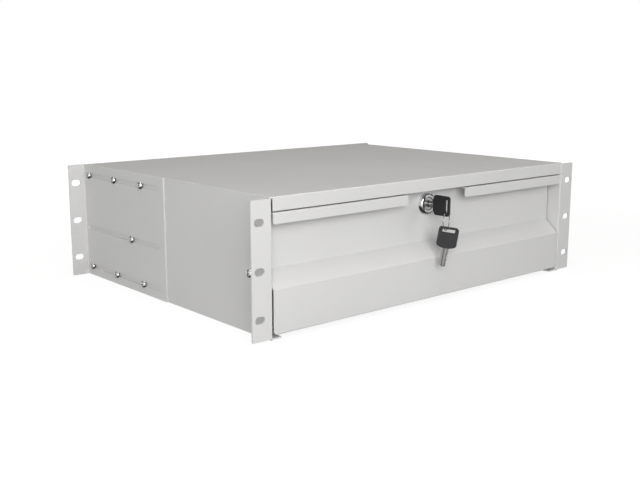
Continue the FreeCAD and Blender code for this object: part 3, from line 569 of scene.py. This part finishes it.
@dataclass
class SubAssembly:
    """What every sub-assembly needs to place and dress its pieces."""

    finishes: Finishes
    sharp: float = math.radians(38)
    fold_flange: float = 0.0045
    fold_length: float = 0.02
    fold_width: float = 0.0011
    fold_steps: int = 4

    def put(self, name: str, shape: bmesh.types.BMesh, slot: Slot, *nodes: str) -> None:
        """Turns a mesh into a dressed piece that stands for CAD nodes and rides with them.

        Args:
            name: the piece's name.
            shape: the mesh, which is used up.
            slot: the record's slot for its finish.
            nodes: the CAD nodes that the piece stands for.
        """
        bmesh.ops.recalc_face_normals(shape, faces=shape.faces)
        put_in_order(shape)
        for face in shape.faces:
            face.smooth = True
        for edge in shape.edges:
            edge.smooth = edge.calc_face_angle(0.0) < self.sharp
        mesh = bpy.data.meshes.new(name)
        shape.to_mesh(mesh)
        shape.free()
        mesh.materials.append(self.finishes.material(slot))
        piece = bpy.data.objects.new(name, mesh)
        bpy.context.scene.collection.objects.link(piece)
        weighted = piece.modifiers.new("weighted", "WEIGHTED_NORMAL")
        weighted.keep_sharp = True
        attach(piece, BODY_OF_NODE[nodes[0]])
        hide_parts(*nodes)
        log.info("%s: %d faces on %s", name, len(mesh.polygons), BODY_OF_NODE[nodes[0]])

    def copy(self, node: str) -> bmesh.types.BMesh:
        """A welded copy of a CAD node whose flat faces are whole.

        Args:
            node: the CAD node.

        Returns:
            The mesh.
        """
        shape = bmesh.new()
        shape.from_mesh(frame["nodes"][node].data)
        bmesh.ops.remove_doubles(shape, verts=shape.verts, dist=SAME_PLACE)
        bmesh.ops.dissolve_limit(
            shape, angle_limit=math.radians(1.0), verts=shape.verts, edges=shape.edges
        )
        return shape

    def round_off(self, shape: bmesh.types.BMesh, width: float, steps: int, folds: bool = False) -> None:
        """Rounds the sharp edges of a mesh.

        Args:
            shape: the mesh.
            width: width of the rounding.
            steps: facets across the rounding.
            folds: whether only the folds of a sheet, between two wide faces, are rounded.
        """
        corners = []
        for edge in shape.edges:
            if not edge.is_manifold or edge.calc_face_angle(0.0) <= self.sharp:
                continue
            length = edge.calc_length()
            wide = min(face.calc_area() for face in edge.link_faces) > self.fold_flange * length
            if not folds or (wide and length > self.fold_length):
                corners.append(edge)
        bmesh.ops.bevel(
            shape, geom=corners, offset=width, offset_type="OFFSET", segments=steps,
            profile=0.5, affect="EDGES", clamp_overlap=True,
        )

    def soften(self, node: str, slot: Slot, width: float, steps: int = 2) -> None:
        """Puts a copy of a CAD node with rounded edges in the node's place.

        Args:
            node: the CAD node.
            slot: the record's slot for its finish.
            width: width of the rounding.
            steps: facets across the rounding.
        """
        shape = self.copy(node)
        self.round_off(shape, width, steps)
        self.put(f"{node}_piece", shape, slot, node)

    def folded(self, node: str, width: float) -> None:
        """Puts a copy of a sheet part with round folds and eased rims in the node's place.

        Args:
            node: the CAD node.
            width: width of the easing along the sheet's rims.
        """
        shape = self.copy(node)
        self.round_off(shape, self.fold_width, self.fold_steps, folds=True)
        self.round_off(shape, width, 2)
        self.put(f"{node}_piece", shape, Slot.POWDER_COAT, node)


@dataclass
class Housing(SubAssembly):
    """Side panels with their ears, the cover, the rear panel and the strike."""

    edge: float = 0.00028

    def build(self) -> None:
        """Builds and dresses the housing."""
        for side in SIDES:
            self.folded(f"{side}_side_panel", self.edge)
        for node in ("top_cover", "rear_panel", "lock_strike"):
            self.folded(node, self.edge)


@dataclass
class RearBrackets(SubAssembly):
    """Adjustable rear brackets with their long slots."""

    edge: float = 0.0003
    slot_rim: float = 0.0008
    slot_rim_steps: int = 3
    slot_length: float = 0.06
    wall: float = 0.003

    def rims(self, shape: bmesh.types.BMesh) -> None:
        """Eases the long edges of the slots, which the screws run along.

        Args:
            shape: the bracket's mesh.
        """
        low = min(vert.co.z for vert in shape.verts) + self.wall
        high = max(vert.co.z for vert in shape.verts) - self.wall
        rims = []
        for edge in shape.edges:
            start, end = (vert.co for vert in edge.verts)
            level = abs(start.z - end.z) < SAME_PLACE and low < start.z < high
            outer = any(abs(face.normal.x) > 0.99 for face in edge.link_faces)
            if level and outer and edge.calc_length() > self.slot_length:
                rims.append(edge)
        bmesh.ops.bevel(
            shape, geom=rims, offset=self.slot_rim, offset_type="OFFSET", segments=self.slot_rim_steps,
            profile=0.5, affect="EDGES", clamp_overlap=True,
        )

    def build(self) -> None:
        """Builds and dresses both brackets."""
        for side in SIDES:
            node = f"{side}_rear_bracket"
            shape = self.copy(node)
            self.rims(shape)
            self.round_off(shape, self.fold_width, self.fold_steps, folds=True)
            self.round_off(shape, self.edge, 2)
            self.put(f"{node}_piece", shape, Slot.POWDER_COAT, node)


@dataclass
class TelescopicSlides(SubAssembly):
    """Three-part ball-bearing slides with two caged ball rows on each side."""

    edge: float = 0.00018
    ball_steps: int = 20

    def balls(self, node: str) -> None:
        """Puts smooth balls in the place of a node's faceted ones.

        Args:
            node: the CAD node with the balls of one bearing.
        """
        shape = bmesh.new()
        for low, high in solids_of(node):
            centre, radius = (low + high) / 2, (high.z - low.z) / 2
            bands = self.ball_steps // 2
            arc = [math.pi * band / bands for band in range(1, bands)]
            profile = [(radius * math.sin(a), -radius * math.cos(a)) for a in arc]
            lathe(shape, profile, Matrix.Translation(centre), self.ball_steps)
        self.put(f"{node}_piece", shape, Slot.BALL_STEEL, node)

    def build(self) -> None:
        """Builds and dresses the slides of both sides."""
        for side in SIDES:
            for member in ("outer_rail", "middle_rail", "inner_rail", "outer_cage", "inner_cage"):
                self.soften(f"{side}_{member}", Slot.ZINC_SLIDE, self.edge)
            for layer in ("outer", "inner"):
                self.balls(f"{side}_{layer}_balls")


@dataclass
class Drawer(SubAssembly):
    """The moving drawer: its folded front with finger strips and its tray."""

    edge: float = 0.00028

    def build(self) -> None:
        """Builds and dresses the drawer's sheet parts."""
        for node in ("drawer_front", "drawer_tray"):
            self.folded(node, self.edge)


@dataclass
class Fasteners(SubAssembly):
    """Pan-head screws with cross recesses, weld nuts and flat rivets."""

    head_radius: float = 0.004
    head_height: float = 0.0026
    rim_height: float = 0.0009
    shank_radius: float = 0.002
    recess_reach: float = 0.00225
    recess_half: float = 0.0006
    recess_depth: float = 0.0016
    recess_floor: tuple = ((0.62, 0.72, 0.0004), (0.40, 0.55, 0.0))
    arm_points: int = 4
    arm_end: float = 0.985
    arm_flare: float = 0.12
    arm_corner: float = 1.25
    dome_rings: int = 7
    dome_power: float = 2.6
    dome_spacing: float = 1.6
    dome_edge: float = 0.9999
    tip_radius: float = 0.8
    tip_start: float = 0.93
    foot_radius: float = 0.97
    foot_height: float = 0.06
    nut_edge: float = 0.0003
    rivet_head: float = 0.34
    rivet_rim: float = 0.0002
    rivet_power: float = 0.6
    rivet_top: float = 0.1
    rivet_rings: int = 8
    rivet_steps: int = 40

    def cross(self, reach: float, half: float, height: float) -> list:
        """Outline of a cross recess.

        Args:
            reach: centre to the end of an arm.
            half: half the width of an arm.
            height: height of the outline on the screw's axis.

        Returns:
            The outline's points, counter-clockwise.
        """
        quadrant = [(reach, 0.0), (reach * self.arm_end, half)]
        for step in range(1, self.arm_points + 1):
            share = step / self.arm_points
            quadrant.append((reach + (half - reach) * share, half + half * self.arm_flare * share))
        quadrant[-1] = (half * self.arm_corner, half * self.arm_corner)
        mirrored = [(y, x) for x, y in reversed(quadrant[1:-1])]
        outline = []
        for turn in range(4):
            cosine, sine = (1, 0, -1, 0)[turn], (0, 1, 0, -1)[turn]
            for x, y in quadrant + mirrored:
                outline.append(Vector((x * cosine - y * sine, x * sine + y * cosine, height)))
        return outline

    def dome(self, radius: float) -> float:
        """Height of the head above its seat at a distance from the axis."""
        crown = self.head_height - self.rim_height
        return self.rim_height + crown * (1 - (radius / self.head_radius) ** self.dome_power) ** 0.5

    def screw(self, shape: bmesh.types.BMesh, seat: Vector, axis: Vector, shank: float) -> None:
        """Adds one screw.

        Args:
            shape: the mesh that receives the screw.
            seat: where the axis meets the surface under the head.
            axis: the way the head faces.
            shank: length of the shank.
        """
        mouth = self.cross(self.recess_reach, self.recess_half, 0.0)
        bearings = [math.atan2(point.y, point.x) for point in mouth]
        profile = [
            (self.shank_radius * self.tip_radius, -shank),
            (self.shank_radius, -shank * self.tip_start),
            (self.shank_radius, 0.0),
            (self.head_radius * self.foot_radius, 0.0),
            (self.head_radius, self.head_height * self.foot_height),
            (self.head_radius, self.rim_height),
        ]
        loops = [circle(radius, height, bearings) for radius, height in profile]
        for step in range(1, self.dome_rings + 1):
            share = 1 - (1 - step / self.dome_rings) ** self.dome_spacing
            loop = []
            for point, bearing in zip(mouth, bearings):
                inner = point.to_2d().length
                radius = self.head_radius + (inner - self.head_radius) * share
                height = self.dome(min(radius, self.head_radius * self.dome_edge))
                loop.append(Vector((radius * math.cos(bearing), radius * math.sin(bearing), height)))
            loops.append(loop)
        floor = self.head_height - self.recess_depth
        for reach, half, rise in self.recess_floor:
            loops.append(self.cross(self.recess_reach * reach, self.recess_half * half, floor + rise))
        loft(shape, loops, facing(axis, seat))

    def side_screws(self, node: str) -> None:
        """Replaces a node of screws whose heads face outward at the sides.

        Args:
            node: the CAD node.
        """
        shape = bmesh.new()
        for low, high in solids_of(node):
            side = 1 if low.x > 0 else -1
            outer = high.x if side > 0 else low.x
            seat = Vector((outer - self.head_height * side, (low.y + high.y) / 2, (low.z + high.z) / 2))
            self.screw(shape, seat, Vector((side, 0, 0)), high.x - low.x - self.head_height)
        self.put(f"{node}_piece", shape, Slot.SCREW_CHROME, node)

    def rivets(self, node: str) -> None:
        """Replaces the flat rivets, whose heads face into the tray.

        Args:
            node: the CAD node.
        """
        shape = bmesh.new()
        for low, high in solids_of(node):
            side = 1 if low.x > 0 else -1
            foot = high.x if side > 0 else low.x
            radius, length = (high.z - low.z) / 2, high.x - low.x
            seat = length * (1 - self.rivet_head)
            rim = seat + self.rivet_rim
            profile = [(self.shank_radius, 0.0), (self.shank_radius, seat), (radius, seat)]
            for step in range(self.rivet_rings):
                a = math.pi / 2 * step / self.rivet_rings
                profile.append((radius * math.cos(a) ** self.rivet_power, rim + (length - rim) * math.sin(a)))
            profile.append((radius * self.rivet_top, length))
            middle = Vector((foot, (low.y + high.y) / 2, (low.z + high.z) / 2))
            lathe(shape, profile, facing(Vector((-side, 0, 0)), middle), self.rivet_steps)
        self.put(f"{node}_piece", shape, Slot.ZINC_SMALL, node)

    def build(self) -> None:
        """Builds and dresses the fasteners."""
        for node in ("bracket_screws", "front_rail_screws", "rear_rail_screws"):
            self.side_screws(node)
        self.soften("weld_nuts", Slot.ZINC_SMALL, self.nut_edge)
        self.rivets("rail_rivets")


@dataclass
class CamLock(SubAssembly):
    """Cam lock: chrome rim and barrel, nickel plug, nut, cam and its screw.

    The crown's points give how far they lie inside the rim, in rim edges, and how far below its face.
    The mouth's points add to the throat and the shelf's to the bore, again with a drop below the face.
    """

    steps: int = 96
    flat: float = 0.0081
    flat_start: float = 0.0011
    barrel_radius: float = 0.0093
    seat_lap: float = 0.0012
    seat_chamfer: float = 0.0003
    rim_edge: float = 0.0007
    crown: tuple = ((0.0, 0.0016), (0.3, 0.0009), (1.0, 0.0004), (2.0, 0.00008), (2.8, 0.0))
    throat: float = 0.0069
    mouth: tuple = ((0.0005, 0.0), (0.0001, 0.0001), (0.0, 0.0004))
    bore: float = 0.00655
    shelf: tuple = ((0.0002, 0.0012), (0.0, 0.0014))
    thread_pitch: float = 0.001
    thread_depth: float = 0.00035
    thread_crest: float = 0.1
    thread_root: float = 0.45
    plug_edge: float = 0.0002
    nut_edge: float = 0.0005
    cam_edge: float = 0.0003
    fine_steps: int = 3

    def rim(self) -> None:
        """Builds the turned rim and the threaded barrel with two flats."""
        low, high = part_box("lock_housing")
        axis = Vector((0, 0, (low.z + high.z) / 2))
        radius = (high.z - low.z) / 2
        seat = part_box("lock_nut")[0].y - self.seat_lap
        height = seat - low.y
        turn = facing(Vector((0, -1, 0)), Vector((0, seat, axis.z)))
        shape = bmesh.new()
        profile = [(self.bore, 0.0), (radius - self.seat_chamfer, 0.0), (radius, self.seat_chamfer)]
        profile += [(radius - self.rim_edge * inside, height - drop) for inside, drop in self.crown]
        profile += [(self.throat + wider, height - drop) for wider, drop in self.mouth]
        profile += [(self.bore + wider, height - drop) for wider, drop in self.shelf]
        rows = [circle(reach, level, around(self.steps)) for reach, level in profile]
        loft(shape, rows + [rows[0]], turn, capped=False)
        self.barrel(shape, seat, high.y, axis.z)
        bmesh.ops.remove_doubles(shape, verts=shape.verts, dist=SAME_PLACE)
        self.put("lock_housing_piece", shape, Slot.LOCK_CHROME, "lock_housing")

    def barrel(self, shape: bmesh.types.BMesh, start: float, stop: float, height: float) -> None:
        """Adds the barrel behind the rim, with its thread between two flats.

        Args:
            shape: the mesh that receives the barrel.
            start: where the barrel leaves the rim.
            stop: the barrel's rear end.
            height: height of the lock's axis.
        """
        turn = facing(Vector((0, 1, 0)), Vector((0, start, height)))
        turns = int((stop - start) / self.thread_pitch)
        stations = [(0.0, self.barrel_radius - self.thread_depth)]
        for step in range(turns):
            middle = (step + 0.5) * self.thread_pitch
            crest, root = self.thread_pitch * self.thread_crest, self.thread_pitch * self.thread_root
            stations.append((middle - crest, self.barrel_radius))
            stations.append((middle + crest, self.barrel_radius))
            stations.append((middle + root, self.barrel_radius - self.thread_depth))
        stations.append((stop - start, self.barrel_radius - self.thread_depth))
        loops = []
        for place, radius in stations:
            loop = circle(radius, place, around(self.steps))
            if place > self.flat_start:
                for point in loop:
                    point.x = max(-self.flat, min(self.flat, point.x))
            loops.append(loop)
        hole = circle(self.bore, 0.0, around(self.steps))
        tail = circle(self.bore, stop - start, around(self.steps))
        loft(shape, [hole] + loops + [tail, hole], turn, capped=False)

    def build(self) -> None:
        """Builds and dresses the lock."""
        self.rim()
        self.soften("lock_plug", Slot.PLUG_NICKEL, self.plug_edge, self.fine_steps)
        self.soften("lock_nut", Slot.ZINC_SMALL, self.nut_edge, self.fine_steps)
        self.soften("lock_cam", Slot.ZINC_SMALL, self.cam_edge)
        self.soften("cam_screw", Slot.ZINC_SMALL, self.cam_edge, self.fine_steps)


@dataclass
class KeySet(SubAssembly):
    """The key in the lock, the spare key and the ring that joins them."""

    bow_edge: float = 0.0005
    bow_steps: int = 4
    blade_edge: float = 0.00015
    groove_offsets: tuple = (0.0014, -0.0014)
    groove_half: float = 0.0006
    groove_depth: float = 0.0005
    wire_radius: float = 0.0005
    ring_steps: int = 96
    wire_steps: int = 12

    def blade(self, node: str) -> None:
        """Dresses a blade and mills two grooves along each of its faces.

        Args:
            node: the CAD node.
        """
        shape = self.copy(node)
        flat = max(shape.faces, key=lambda face: face.calc_area()).normal.copy()
        back = max(shape.edges, key=lambda edge: edge.calc_length())
        along = (back.verts[1].co - back.verts[0].co).normalized()
        across = flat.cross(along)
        spread = [vert.co.dot(across) for vert in shape.verts]
        level = [vert.co.dot(flat) for vert in shape.verts]
        centre, middle = (min(spread) + max(spread)) / 2, (min(level) + max(level)) / 2
        for offset in self.groove_offsets:
            for step in (-1, 0, 1):
                bmesh.ops.bisect_plane(
                    shape, geom=shape.verts[:] + shape.edges[:] + shape.faces[:], dist=1e-7,
                    plane_co=across * (centre + offset + step * self.groove_half), plane_no=across,
                )
            for vert in shape.verts:
                if abs(vert.co.dot(across) - centre - offset) < SAME_PLACE:
                    side = 1 if vert.co.dot(flat) > middle else -1
                    vert.co -= flat * side * self.groove_depth
        self.round_off(shape, self.blade_edge, 2)
        self.put(f"{node}_piece", shape, Slot.KEY_NICKEL, node)

    def ring(self) -> None:
        """Builds the ring of round wire, which lies across the hinge that it swings on."""
        low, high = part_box("key_ring")
        joints = frame["record"]["behaviour"]["joints"]
        swing = next(joint for joint in joints if joint["name"] == "ring_swing")
        wire, radius = self.wire_radius, (high.z - low.z) / 2 - self.wire_radius
        rows = []
        for a in around(self.ring_steps):
            row = []
            for b in around(self.wire_steps):
                reach = radius + wire * math.cos(b)
                row.append(Vector((reach * math.cos(a), reach * math.sin(a), wire * math.sin(b))))
            rows.append(row)
        shape = bmesh.new()
        loft(shape, rows + [rows[0]], facing(Vector(swing["axis"]), (low + high) / 2), capped=False)
        bmesh.ops.remove_doubles(shape, verts=shape.verts, dist=SAME_PLACE)
        self.put("key_ring_piece", shape, Slot.KEY_NICKEL, "key_ring")

    def build(self) -> None:
        """Builds and dresses the keys and their ring."""
        for name in ("key", "spare_key"):
            self.soften(f"{name}_bow", Slot.KEY_PLASTIC, self.bow_edge, self.bow_steps)
            self.blade(f"{name}_blade")
        self.ring()


# ---------------------------------------------------------------- studio
@dataclass(frozen=True)
class Softbox:
    """One soft light of the studio."""

    name: str
    place: tuple
    aim: tuple
    size: tuple
    power: float
    colour: tuple = (1.0, 1.0, 1.0)

    def hang(self) -> None:
        """Hangs the light, turned to its aim."""
        data = bpy.data.lights.new(self.name, "AREA")
        data.shape = "RECTANGLE"
        data.size, data.size_y = self.size
        data.energy = self.power
        data.color = self.colour
        light = bpy.data.objects.new(self.name, data)
        light.location = self.place
        light.rotation_euler = (Vector(self.aim) - Vector(self.place)).to_track_quat("-Z", "Y").to_euler()
        bpy.context.scene.collection.objects.link(light)


@dataclass(frozen=True)
class Studio:
    """Pale floor that runs out into white, soft lights and the camera."""

    camera_place: tuple = (-0.69496, -0.62417, 0.18026)
    camera_tilt: float = 78.96
    camera_turn: float = -40.566
    lens: float = 50.28
    sensor: float = 36.0
    clip: tuple = (0.01, 50.0)
    floor_half: float = 9.0
    floor_mottle: float = 0.6
    floor_tones: tuple = (0.13, 0.14)
    glow_near: float = 0.88
    glow_far: float = 1.0
    glow_reach: tuple = (0.35, 1.6)
    wall: float = 0.47
    lights: tuple = (
        Softbox("front", (-0.75, -1.5, 0.55), (-0.1, 0.0, 0.0), (1.5, 1.0), 9.0),
        Softbox("front_low", (-0.55, -0.95, 0.25), (-0.1, 0.0, 0.0), (1.1, 0.6), 6.2),
        Softbox("front_left", (-0.62, -0.62, 0.42), (-0.15, -0.02, 0.0), (0.6, 0.5), 2.1),
        Softbox("front_right", (1.2, -1.4, 0.7), (0.1, 0.0, 0.0), (1.0, 1.0), 5.9),
        Softbox("overhead", (0.0, 0.1, 1.5), (0.0, 0.1, 0.0), (1.2, 1.2), 13.5, (1.0, 0.98, 0.952)),
        Softbox("left", (-1.7, 0.3, 0.6), (0.0, 0.1, 0.0), (0.9, 0.9), 2.9),
        Softbox("rear", (0.5, 1.3, 0.0), (0.0, 0.2, 0.0), (1.6, 0.11), 5.0),
    )

    def camera(self) -> None:
        """Sets up the camera."""
        data = bpy.data.cameras.new("camera")
        data.lens = self.lens
        data.sensor_width = self.sensor
        data.clip_start, data.clip_end = self.clip
        camera = bpy.data.objects.new("camera", data)
        camera.location = self.camera_place
        camera.rotation_euler = (math.radians(self.camera_tilt), 0.0, math.radians(self.camera_turn))
        bpy.context.scene.collection.objects.link(camera)
        bpy.context.scene.camera = camera

    def paper(self) -> bpy.types.Material:
        """Pale floor that glows, so that shadows stay faint and its far end runs out into white.

        Returns:
            The material.
        """
        shader = Shader("floor")
        mottle = shader.between(shader.noise(self.floor_mottle, 2.0), 0.0, 1.0)
        shader.feed("Base Color", shader.blend(mottle, *((tone,) * 3 for tone in self.floor_tones)))
        shader.fix("Roughness", 0.9)
        shader.fix("Specular IOR Level", 0.1)
        away = shader.tree.nodes.new("ShaderNodeVectorMath")
        away.operation = "LENGTH"
        shader.tree.links.new(shader.place, away.inputs[0])
        shader.surface.inputs["Emission Color"].default_value = (1.0, 1.0, 1.0, 1.0)
        glow = shader.ramp(away.outputs["Value"], self.glow_reach, (self.glow_near, self.glow_far))
        shader.feed("Emission Strength", glow)
        return shader.material

    def floor(self) -> None:
        """Lays the floor under the drawer, where polished pieces mirror it but it throws no soft light."""
        shape = bmesh.new()
        half = self.floor_half
        corners = [(-half, -half), (half, -half), (half, half), (-half, half)]
        shape.faces.new([shape.verts.new((x, y, 0.0)) for x, y in corners])
        mesh = bpy.data.meshes.new("floor")
        shape.to_mesh(mesh)
        shape.free()
        mesh.materials.append(self.paper())
        floor = bpy.data.objects.new("floor", mesh)
        floor.location.z = CAD_BOX[0].z
        floor.visible_diffuse = False
        bpy.context.scene.collection.objects.link(floor)

    def world(self) -> None:
        """Shows white behind the drawer, which itself is lit by a wall of light on its left."""
        world = bpy.data.worlds.new("studio")
        bpy.context.scene.world = world
        world.use_nodes = True
        tree = world.node_tree
        way = tree.nodes.new("ShaderNodeTexCoord")
        left = tree.nodes.new("ShaderNodeVectorMath")
        left.operation = "DOT_PRODUCT"
        left.inputs[1].default_value = (-self.wall, 0.0, 0.0)
        lit = tree.nodes.new("ShaderNodeMath")
        lit.operation = "MAXIMUM"
        lit.inputs[1].default_value = 0.0
        ray = tree.nodes.new("ShaderNodeLightPath")
        shown = tree.nodes.new("ShaderNodeMix")
        shown.inputs["B"].default_value = 1.0
        background = tree.nodes["Background"]
        background.inputs["Color"].default_value = (1.0, 1.0, 1.0, 1.0)
        tree.links.new(way.outputs["Generated"], left.inputs[0])
        tree.links.new(left.outputs["Value"], lit.inputs[0])
        tree.links.new(ray.outputs["Is Camera Ray"], shown.inputs["Factor"])
        tree.links.new(lit.outputs["Value"], shown.inputs["A"])
        tree.links.new(shown.outputs["Result"], background.inputs["Strength"])

    def build(self) -> None:
        """Sets up the whole studio."""
        self.camera()
        self.floor()
        self.world()
        for light in self.lights:
            light.hang()
        bpy.context.scene.view_settings.view_transform = "Standard"


def main() -> None:
    """Builds the studio and every sub-assembly in order."""
    logging.basicConfig(level=logging.INFO, format="%(name)s: %(message)s")
    Studio().build()
    finishes = Finishes()
    for kind in (Housing, RearBrackets, TelescopicSlides, Drawer, CamLock, KeySet, Fasteners):
        kind(finishes).build()
        log.info("%s done", kind.__name__)


if __name__ == "__main__":
    main()
